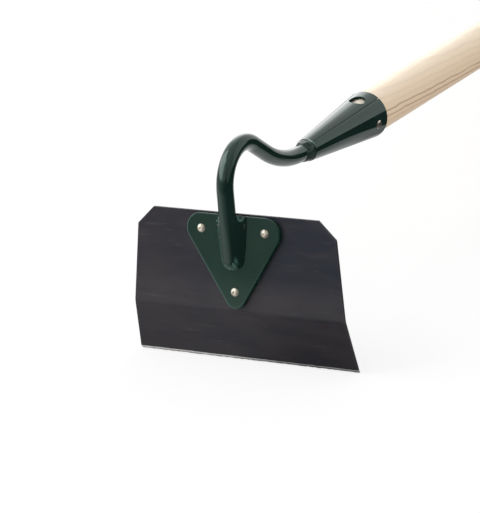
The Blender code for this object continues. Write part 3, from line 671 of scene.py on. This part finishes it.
# Two ridges of weld metal stand on the tip, and the run stops at the upper right in a small crater
spikes = sum(share * bell(skin[..., 0] - x, 0.0005) * bell(skin[..., 2] - z, 0.0018)
             for x, z, share in ((0.0050, -0.0318, 1.0), (0.0034, -0.0338, 0.8)))
column = np.argmin(np.abs(v - 0.42))
row = np.argmin(np.abs(skin[:, column, 2] + 0.0010) + (skin[:, column, 0] < 0))
from_crater = np.linalg.norm(skin - skin[row, column], axis=-1)
crater_ring = bell(from_crater - 0.0020, 0.0006)
lift += 0.0006 * spikes + 0.00045 * crater_ring - 0.0004 * bell(from_crater, 0.0009)
# Painted highlights: the enamel is paler on the crater's ring, the ridges, the upper left end, the left side
# and the tip's left, where the light catches them
upper_left = bell(travel[:, None] + 0.895, 0.018) * bell(v - 0.25, 0.18)
toe_edge = bell(v, 0.10) * (0.6 + 0.4 * uneven(skin, 0.0035, 23))
tip_left = bell(travel[:, None] + 0.03, 0.07)
tip_side = np.clip((0.0048 - skin[..., 0]) / 0.0010, 0, 1) * np.clip((-0.0285 - skin[..., 2]) / 0.0020, 0, 1)
lift += 0.0004 * upper_left
wear_and_painted_light = 0.30 * crater_ring + 0.70 * upper_left + toe_edge * (0.30 * left_share + 0.55 * tip_left)
wear_and_painted_light += 0.25 * spikes + 0.03 * left_share + hump * (0.02 * low_left + 0.16 * tip_side)
wear_and_painted_light = np.clip(wear_and_painted_light, 0, 1)
skin += outward[:, None] * lift[..., None]
overhang = late[:, 0] * (travel > 0)
under = np.stack([toe_x * 0.75, PLATE_FRONT + 0.0006 + 0 * toe_x,
                  (toe_z + seat_z) / 2 - 0.0014 * overhang], axis=-1)
inside = np.stack([seat_x * 0.5, np.minimum(seat_y + 0.0025, PLATE_FRONT + 0.0004),
                   seat_z + 0.0010 - 0.0008 * overhang], axis=-1)
surface = np.concatenate([skin, inside[:, None], under[:, None]], axis=1)
wear_and_painted_light = np.append(np.pad(wear_and_painted_light, ((0, 0), (0, 2))).ravel(), [0.0, 0.0])
points, faces = tube(surface, surface[0].mean(axis=0), surface[-1].mean(axis=0))
foot_weld = forge("hoe_foot_weld", points, faces, welded_enamel, sharp=80.0, wear_and_painted_light=wear_and_painted_light)
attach(foot_weld, "root")
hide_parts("foot_weld")


# Ferrule: a cone rolled from steel sheet, its seam left open by half a millimetre, with a round sight
# hole on top near the mouth that shows how far the handle is driven in. Enamelled with the head.
FERRULE_LENGTH = 0.0970
FERRULE_WALL = 0.0015
THROAT_INNER_RADIUS = ROD_RADIUS + 0.0010
HANDLE_RADIUS = 0.0165
MOUTH_INNER_RADIUS = HANDLE_RADIUS + 0.0003
SEAM_WIDTH = 0.0005
SEAM_TURN = math.radians(40.0)
SIGHT_HOLE_RADIUS = 0.0065
SIGHT_HOLE_SETBACK = 0.0164
SIGHT_HOLE_TURN = math.radians(7.0)
TAPER = (MOUTH_INNER_RADIUS - THROAT_INNER_RADIUS) / FERRULE_LENGTH
ROWS_TO_MOUTH = [60, 8, 16, 8, 6]
COLUMNS_ROUND = [96, 8, 16, 8, 2]


def shaft_frame(place, pitch):
    """Local Z runs up to the butt at this pitch, local X along the blade and local Y down."""
    lift = Matrix.Translation((0.0, place[0], place[1]))
    return HEAD @ lift @ Matrix.Rotation(pitch - math.pi / 2, 4, "X")


def runs(stops, counts):
    """Even runs of numbers between the stops, each with its own count."""
    parts = [np.linspace(a, b, n, endpoint=False) for a, b, n in zip(stops, stops[1:], counts)]
    return np.concatenate(parts + [stops[-1:]])


def round_shaft(radius, turn, z):
    """Points at this radius round the shaft's axis. The turn is 0 on top and a quarter on the right."""
    return np.stack([radius * np.sin(turn), -radius * np.cos(turn), z + 0 * turn], axis=-1)


FERRULE = shaft_frame(THROAT, FERRULE_PITCH)
hole_z = FERRULE_LENGTH - SIGHT_HOLE_SETBACK
hole_r = THROAT_INNER_RADIUS + TAPER * hole_z + FERRULE_WALL
cut = 0.85 * SIGHT_HOLE_RADIUS
calm = 0.0088
hole_a = SIGHT_HOLE_TURN + 2 * math.pi
z = runs(np.array([0.0, hole_z - calm, hole_z - cut, hole_z + cut, hole_z + calm, FERRULE_LENGTH]),
         ROWS_TO_MOUTH)
half_seam = SEAM_WIDTH / 2 / hole_r
a = runs(np.array([SEAM_TURN + half_seam, hole_a - calm / hole_r, hole_a - cut / hole_r,
                   hole_a + cut / hole_r, hole_a + calm / hole_r, SEAM_TURN - half_seam + 2 * math.pi]),
         COLUMNS_ROUND)
# Round the hole the grid's square rings are drawn out into circles, until they are calm again
v = (z - hole_z)[:, None] + 0 * a
u = (a - hole_a) * hole_r + 0 * v
square = np.maximum(np.abs(u), np.abs(v))
far = np.hypot(u, v)
share = np.clip((square - cut) / (calm - cut), 0, 1)
ringed = (SIGHT_HOLE_RADIUS * (1 - share) + far * share) / np.maximum(far, 1e-9)
stretch = np.where(square < calm, ringed, 1.0)
new_z = hole_z + v * stretch
new_a = hole_a + u * stretch / hole_r
surface = np.stack([round_shaft(THROAT_INNER_RADIUS + TAPER * new_z + wall, new_a, new_z)
                    for wall in (FERRULE_WALL, 0.0)])
rows, columns = len(z), len(a)
surface[..., 2] += 0.00012 * uneven(surface * [1, 1, 0], 0.016, 31) * (surface[..., 2] < 0.001)
top, bottom = np.cumsum(ROWS_TO_MOUTH)[1:3]
left, right = np.cumsum(COLUMNS_ROUND)[1:3]
inner = rows * columns
quads = grid_faces(rows, columns)
i, j = np.divmod(quads[:, 0], columns)
kept = quads[~((i >= top) & (i < bottom) & (j >= left) & (j < right))]

# The sheet's thickness shows along the seam, at both ends and round the hole
sheet = np.arange(inner).reshape(rows, columns)
opening = sheet[top:bottom + 1, left:right + 1]
edges = [edge for part in (sheet, opening) for edge in (part[:, 0], part[:, -1], part[0], part[-1])]
walls = [np.stack([edge[:-1], edge[1:], edge[1:] + inner, edge[:-1] + inner], axis=1) for edge in edges]
# The enamel is thin on the sight hole's sheared edge, and the sheet's end at the upper right carries a
# painted highlight, a near-white line
wear_and_painted_light = np.zeros((2, rows, columns))
wear_and_painted_light[:, top:bottom + 1, left:right + 1] = 0.01
wear_and_painted_light[:, 0] = 1.5 * bell(np.abs(a - 0.45 - math.pi) - math.pi, 0.36)
ferrule = forge("hoe_ferrule", surface, np.vstack([kept, kept + inner] + walls), welded_enamel, FERRULE,
                sharp=45.0, rounding=0.00030, wear_and_painted_light=wear_and_painted_light.clip(0, 1))
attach(ferrule, "root")
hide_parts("ferrule")


# Weld at the throat: weld metal run round the neck where it enters the cone, more of it on the right,
# with pits, a sharp spatter beak at the upper left and a bright edge of sheet behind it.
THROAT_WELD_COLUMNS = 132
THROAT_WELD_ROWS = 40

turn = np.linspace(0, 2 * math.pi, THROAT_WELD_COLUMNS, endpoint=False)
reach = 0.0088 + 0.0013 * np.sin(turn - 0.7) + 0.0005 * np.sin(3 * turn + 1.0)
reach += 0.0014 * bell(turn - 1.35, 0.5)
v = np.linspace(0, 1, THROAT_WELD_ROWS)[:, None]
crest = THROAT_INNER_RADIUS + FERRULE_WALL - 0.0003
z = 0.0004 - reach * v
radius = ROD_RADIUS - 0.0002 + (crest - ROD_RADIUS) * np.cos(v * math.pi / 2) ** 0.6 + 0 * turn
surface = round_shaft(radius, turn, z)
humps = np.sin(np.pi * v) ** 0.7
rough = 1 - 0.8 * bell(turn - 1.85, 0.45)
lift = (0.00038 * uneven(surface, 0.0070, 41) + 0.00006 * uneven(surface, 0.0026, 42)) * rough * humps
lift += 0.0002 * humps
# A spiky beak at the upper left, and pits where gas has broken out
lift += 0.0009 * bell(turn - 5.75, 0.22) * bell(v - 0.82, 0.16)
for at, down, wide, deep in ((0.80, 0.60, 0.15, 0.0013), (0.85, 0.28, 0.10, 0.0009),
                             (0.95, 0.86, 0.12, 0.0009), (1.20, 0.78, 0.10, 0.0009),
                             (2.20, 0.55, 0.12, 0.0010)):
    lift -= deep * bell(turn - at, wide) * bell(v - down, 0.09)
radius = np.maximum(radius + lift, ROD_RADIUS - 0.0004)
lining = round_shaft(ROD_RADIUS - 0.0012 + 0 * z, turn, z)[::-1]
surface = np.concatenate([round_shaft(radius, turn, z), lining])
throat_enamel = green_enamel("green_enamel_at_throat", (0.0090, 0.0225, 0.0185), (0.0120, 0.0280, 0.0235),
                             lumps=0.3, dull=0.12, gloss=0.27)
# The enamel is matt on the lower right side and on the floor of the largest pit
matt_pit = bell(turn - 0.82, 0.16) * bell(v - 0.60, 0.12)
wear_and_painted_light = -1.4 * bell(turn - 1.95, 0.50) - 0.6 * matt_pit
wear_and_painted_light = np.concatenate([wear_and_painted_light, 0 * z + 0 * turn])
throat_weld = forge("hoe_throat_weld", surface, grid_faces(len(surface), THROAT_WELD_COLUMNS, True, True),
                    throat_enamel, FERRULE, sharp=80.0, wear_and_painted_light=wear_and_painted_light)
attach(throat_weld, "root")
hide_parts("throat_weld")


# Ferrule rivet: a round steel pin through ferrule and handle, headed over on both sides, its hollow
#  middles dulled brown and the lower side of each head darkened with painted shade. It keeps the handle in
#  the cone.
PIN_SETBACK = 0.0114
PIN_TURN = math.radians(11.5)
PIN_HEAD_DIAMETER = 0.0068
PIN_HEAD_HEIGHT = 0.0013
PIN_SHANK_DIAMETER = 0.0042
PIN_DIMPLE_RADIUS = 0.0019
PIN_DIMPLE_DEPTH = 0.0006

pin_z = FERRULE_LENGTH - PIN_SETBACK
pin_place = Matrix.Translation((0.0, 0.0, pin_z)) @ Matrix.Rotation(PIN_TURN, 4, "Z")
PIN = FERRULE @ pin_place @ Matrix.Rotation(math.pi / 2, 4, "Y")
seat = THROAT_INNER_RADIUS + TAPER * pin_z + FERRULE_WALL
half_pin = dome(PIN_HEAD_DIAMETER / 2, PIN_HEAD_HEIGHT, 30)
half_pin[:, 1] += seat - PIN_DIMPLE_DEPTH * bell(half_pin[:, 0], PIN_DIMPLE_RADIUS, 4)
sunk = seat - 0.0004
half_pin = np.vstack([half_pin, [[PIN_HEAD_DIAMETER / 2, sunk], [PIN_SHANK_DIAMETER / 2, sunk]]])
pin_profile = np.vstack([half_pin, half_pin[::-1] * [1, -1]])
points, faces = turned(pin_profile, RIVET_COLUMNS)
points[:, 2] += 0.00010 * uneven(points, 0.0035, 51)
wear_and_painted_light = 1.3 * bell(np.hypot(points[:, 0], points[:, 1] + 0.0003), 0.0014, 4)
# Painted shade: the lower side of each head is darkened, which leaves a pale crescent on top as a painted
# highlight
wear_and_painted_light = np.maximum(wear_and_painted_light, np.clip((points[:, 0] * 0.8 + points[:, 1] * 0.6) / 0.0024, 0, 0.75)).clip(0, 1)
pin_steel = satin_steel("pin_steel", (0.92, 0.82, 0.71), (0.060, 0.042, 0.030), 0.28, 0.80)
pin = forge("hoe_ferrule_rivet", points, faces, pin_steel, PIN, sharp=50.0, wear_and_painted_light=wear_and_painted_light)
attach(pin, "root")
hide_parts("ferrule_rivet")


# Handle: a long round shaft of pale ash, turned smooth, its nose tapered to fit the cone and its butt
# rounded over, under a thin clear varnish. The grain runs along it in fine brown lines.
HANDLE_LENGTH = 1.372
HANDLE_PITCH = math.radians(5.95)
HANDLE_NOSE_DEPTH = 0.0740
BUTT_ROUND = 0.0100
LAYER_THICKNESS = 0.0042
HANDLE_COLUMNS = 112


def ash_wood(place):
    """Pale ash: its growth layers lie flat and run a little out of the handle's line, so that their
    dark porous wood shows as wavy brown lines along the sides; fine pores and fibres lie between."""
    finish = Finish("ash", Specular_IOR_Level=0.40, Coat_Weight=0.22, Coat_Roughness=0.16)
    long = finish.placed(place, (1.0, 1.0, 0.035))
    _, across_y, along = finish.split(finish.placed(place))
    sway = finish.noise(finish.placed(place, (1.0, 1.0, 0.9)), 24.0, 2.0, 0.45)
    waver = finish.noise(finish.placed(place, (1.0, 1.0, 0.6)), 120.0, 2.0, 0.5)
    level = across_y - along * 0.043 + (sway - 0.5) * 0.0030 + (waver - 0.5) * 0.0019
    layer = (level + 0.0033) * (2 * math.pi / LAYER_THICKNESS)
    rings = layer.maths("COSINE")
    uneven_rings = finish.noise(finish.placed(place, (0.3, 1.0, 0.02)), 210.0, 1.0, 0.5)
    fibre = finish.noise(long, 900.0, 4.0, 0.6)
    pores = finish.noise(finish.placed(place, (1.0, 1.0, 0.06)), 2600.0, 2.0, 0.5)
    bands = finish.noise(finish.placed(place, (1.0, 1.0, 0.02)), 90.0, 2.0, 0.5)
    porous = pores.ramp(0.62, 0.72)
    line = rings.ramp(0.42, 0.96) * (0.08 + level.ramp(-0.0070, -0.0045) * 0.92)
    line *= uneven_rings.ramp(0.20, 0.50) * (1.0 - level.ramp(0.0030, 0.0045) * 0.75)
    wood = finish.layered(
        (0.880, 0.645, 0.440), (bands.ramp(0.30, 0.70), (0.910, 0.712, 0.500)),
        # Painted highlight: paler wood along the top of the handle, where the light falls
        (across_y.ramp(-0.0085, -0.0155) * 0.50, (0.960, 0.850, 0.680)),
        # Painted highlight: paler wood on the nose inside the cone, where it shows through the sight hole
        (along.ramp(-0.0040, -0.0090) * 0.7, (0.960, 0.910, 0.790)),
        (rings.ramp(-0.2, 0.8) * 0.12, (0.660, 0.510, 0.370)),
        (line * 0.74, (0.500, 0.318, 0.205)),
        (fibre.ramp(0.55, 0.80) * 0.16, (0.560, 0.425, 0.295)),
        (porous * (0.08 + line * 0.60), (0.330, 0.225, 0.140)))
    finish.set(Base_Color=wood,
               Roughness=0.40 + fibre * 0.18,
               Normal=finish.bump(fibre * 0.6 - line * 0.5 - porous * 0.6, 0.00006, 0.5))
    return finish.made


HANDLE = shaft_frame(THROAT + FERRULE_WAY * FERRULE_LENGTH, HANDLE_PITCH)
butt = HANDLE_LENGTH - HANDLE_NOSE_DEPTH
butt_face = butt - 0.00005
drift = HANDLE_NOSE_DEPTH * math.tan(HANDLE_PITCH - FERRULE_PITCH)
nose = THROAT_INNER_RADIUS + TAPER * (FERRULE_LENGTH - HANDLE_NOSE_DEPTH) - drift - 0.0003
arc = np.linspace(0, math.pi / 2, 14)
shaft_radius = HANDLE_RADIUS - 0.00002
flat = shaft_radius - BUTT_ROUND
crown = np.stack([flat + BUTT_ROUND * np.sin(arc), butt_face - BUTT_ROUND * (1 - np.cos(arc))], axis=1)
length = np.linspace(butt - BUTT_ROUND, 0.0, 240)[1:]
shaft = np.stack([shaft_radius + 0 * length, length], axis=1)
tucked = np.linspace(0, 1, 12)[1:, None]
taper = shaft[-1] + (np.array([nose, -HANDLE_NOSE_DEPTH]) - shaft[-1]) * tucked
# The nose is whittled rather than turned, so it stands off the cone behind the sight hole
taper[:, 0] -= 0.0013 * bell(taper[:, 1] + 0.0165, 0.0085, 4)
handle_profile = np.vstack([[[0.0, butt_face], [flat / 2, butt_face]], crown, shaft, taper,
                            [[nose / 2, -HANDLE_NOSE_DEPTH], [0.0, -HANDLE_NOSE_DEPTH]]])
points, faces = turned(handle_profile, HANDLE_COLUMNS)
handle = forge("hoe_handle", points, faces, ash_wood(HANDLE), HANDLE, sharp=50.0)
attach(handle, "root")
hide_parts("handle")


# Stage: a white table that keeps a soft shadow, a soft lamp on the left, and the studio's walls and
# lamps as the gloss shows them: a large softbox at the upper left, a second one behind it, lit walls
# at the back and a dark room at the right, where the gloss finds the white table's end.
TABLE_SHADOW = 0.30
TABLE_REACH = 9
TABLE_DROP = 0.0004
ROOM_RADIUS = 4.0
HEAD_MIDDLE = Vector((0.0, -0.66, 0.09))
LAMP_AWAY = Vector((-1.08, -0.50, 1.07))
DEGREES = 180 / math.pi


def seen_share(finish):
    """1 for the camera's rays, and 1 for the rays of the camera, the gloss and the glass together. Both
    are 0 for the light that falls on the object."""
    path = finish.node("LightPath").socket.node.outputs
    camera_ray, glossy_ray, glass_ray = [Grade(finish, path["Is %s Ray" % kind])
                                         for kind in ("Camera", "Glossy", "Transmission")]
    return camera_ray, camera_ray.larger(glossy_ray).larger(glass_ray)


def stage_piece(name, points, faces, material):
    mesh = bpy.data.meshes.new(name)
    mesh.from_pydata(points, [], faces)
    mesh.materials.append(material)
    piece = add(name, mesh)
    return piece


paper = Finish("table_white")
camera_ray, seen = seen_share(paper)
east, north, _ = paper.split(paper.node("TexCoord", output="Object"))
# In the gloss the table is dark in three parts: near the head, to the left and far at the back
by_mouth = north.ramp(-0.490, -0.450)
near_head = (east - by_mouth * 0.025).ramp(0.138, 0.113) * north.ramp(-0.408, -0.420)
near_head *= north.ramp(-0.72, -0.68) * (0.72 + north.ramp(-0.42, -0.60) * 0.40)
near_head *= 1.0 - east.ramp(0.04, 0.11) * (1.0 - by_mouth) * 0.35
near_head *= 1.0 - east.ramp(0.085, -0.02) * north.ramp(-0.475, -0.435) * 0.68
to_left = east.ramp(0.04, -0.03) * north.ramp(-1.02, -0.98) * (1.0 - north.ramp(-0.95, -0.80) * 0.45)
to_left += east.ramp(0.27, -0.13) * north.ramp(-0.98, -1.02) * north.ramp(-1.18, -1.08)
to_left += east.ramp(0.45, -0.60) * north.ramp(-1.08, -1.18) * (0.45 + north.ramp(-1.5, -1.2) * 0.55)
far_back = north.ramp(0.0, 0.5) * (east - north * 0.3).ramp(0.32, 0.08)
far_back += east.ramp(-0.10, -0.22) * north.ramp(-0.30, -0.10)
dark = (1.0 - near_head.larger(to_left).larger(far_back)) * (seen - camera_ray)
sheet_colour = paper.mix(dark, (0.86, 0.86, 0.86), (0.03, 0.03, 0.03))
glow_colour = paper.mix(dark, (1.0, 1.0, 1.0), (0.0, 0.0, 0.0))
sheet = paper.node("BsdfDiffuse", {"Color": sheet_colour})
glow = paper.node("Emission", {"Color": glow_colour, "Strength": 1.08})
both = paper.node("MixShader", {0: seen * (1.0 - TABLE_SHADOW), 1: sheet, 2: glow})
paper.feed(paper.tree.nodes["Material Output"].inputs["Surface"], both)
corners = [(x * TABLE_REACH, y * TABLE_REACH, -TABLE_DROP) for x, y in ((-1, -1), (1, -1), (1, 1), (-1, 1))]
stage_piece("studio_table", corners, [(0, 1, 2, 3)], paper.made)

room = Finish("studio_walls")
toward = room.node("VectorMath", {0: room.node("TexCoord", output="Object")}, operation="NORMALIZE")
east, north, up = room.split(toward)
azimuth = east.maths("ARCTAN2", north) * DEGREES
height = up.maths("ARCSINE") * DEGREES


def patch(left, right, low, high, side, end):
    """1 inside a rectangle of azimuth and elevation in degrees, falling to 0 over its soft sides and
    its soft lower and upper ends."""
    return (azimuth.ramp(left - side, left + side) * azimuth.ramp(right + side, right - side)
            * height.ramp(low - end, low + end) * height.ramp(high + end, high - end))


# The ceiling, the softbox in two parts, the lamp behind it, the back walls in two parts, the right wall
# from left to right, the wall behind, and what is lit below the lamps
light = 0.0
for left, right, low, high, side, end, power in (
        (-190, 190, 52, 110, 4, 14, 0.95),
        (-153, -79, 17, 66, 8, 5, 4.0),
        (-169, -153, 22, 66, 4, 6, 2.0),
        (-47, -20, -20, 37, 6, 8, 1.2),
        (-79, -6, -20, 58, 7, 12, 1.30),
        (-6, 21, -8, 50, 7, 12, 1.10),
        (21, 38, 6.5, 50, 3, 1, 1.05),
        (38, 66, -0.5, 50, 3, 1, 1.12),
        (66, 80, 5, 50, 4, 2, 1.05),
        (80, 127, 6, 50, 5, 1, 0.60),
        (127, 157, 20, 50, 6, 6, 0.45),
        (157, 190, 18, 50, 6, 6, 0.85),
        (-190, -153, 18, 50, 6, 6, 1.00),
        (-190, -158, -8, 18, 6, 6, 0.27),
        (157, 190, 2, 18, 6, 6, 0.18),
        (-158, -79, -8, 17, 6, 6, 0.60)):
    light += patch(left, right, low, high, side, end) * power
strength = room.node("Emission", {"Color": (1.0, 1.0, 1.0), "Strength": light})
room.feed(room.tree.nodes["Material Output"].inputs["Surface"], strength)
arc = np.linspace(0, math.pi, 24)
points, faces = turned(ROOM_RADIUS * np.stack([np.sin(arc), np.cos(arc)], axis=1), 48)
walls = stage_piece("studio_walls", points, faces, room.made)
walls.location = HEAD_MIDDLE
for rays in ("camera", "diffuse", "shadow", "volume_scatter"):
    setattr(walls, "visible_" + rays, False)

# The world lights all sides evenly, and camera and gloss see it white
sky = Finish("studio_light", bpy.data.worlds, "Background", Color=(1.0, 1.0, 1.0))
_, seen_white = seen_share(sky)
sky.set(Strength=0.76 + seen_white * 0.24)
bpy.context.scene.world = sky.made

data = bpy.data.lights.new("key_lamp", "AREA")
data.shape = "SQUARE"
data.size = 1.1
data.energy = 11.0
key_lamp = add("key_lamp", data)
key_lamp.location = HEAD_MIDDLE + LAMP_AWAY
key_lamp.rotation_euler = (-LAMP_AWAY).to_track_quat("-Z", "Y").to_euler()
key_lamp.visible_glossy = False

bpy.context.scene.view_settings.view_transform = "Standard"


# Camera: the photograph's place and turn, found from the blade's corners, the rivets and the ferrule,
# with a long lens at about two metres.
SENSOR_HEIGHT = 36.0
PHOTO_HEIGHT_PIXELS = 513.0
FOCAL_PIXELS = 2830.0

data = bpy.data.cameras.new("photograph_view")
data.sensor_fit = "VERTICAL"
data.sensor_height = SENSOR_HEIGHT
data.lens = SENSOR_HEIGHT * FOCAL_PIXELS / PHOTO_HEIGHT_PIXELS
data.clip_start = 0.05
data.clip_end = 60.0
camera = add("photograph_view", data)
right_way = Vector((0.87097388, 0.4903004, -0.03178063))
up_way = Vector((-0.08627192, 0.21629099, 0.97250983))
back_way = right_way.cross(up_way)
stand = Matrix((right_way, up_way, back_way)).transposed().to_4x4()
stand.translation = Vector((0.9667, -1.6816, 0.4287))
camera.matrix_world = HEAD @ stand
bpy.context.scene.camera = camera
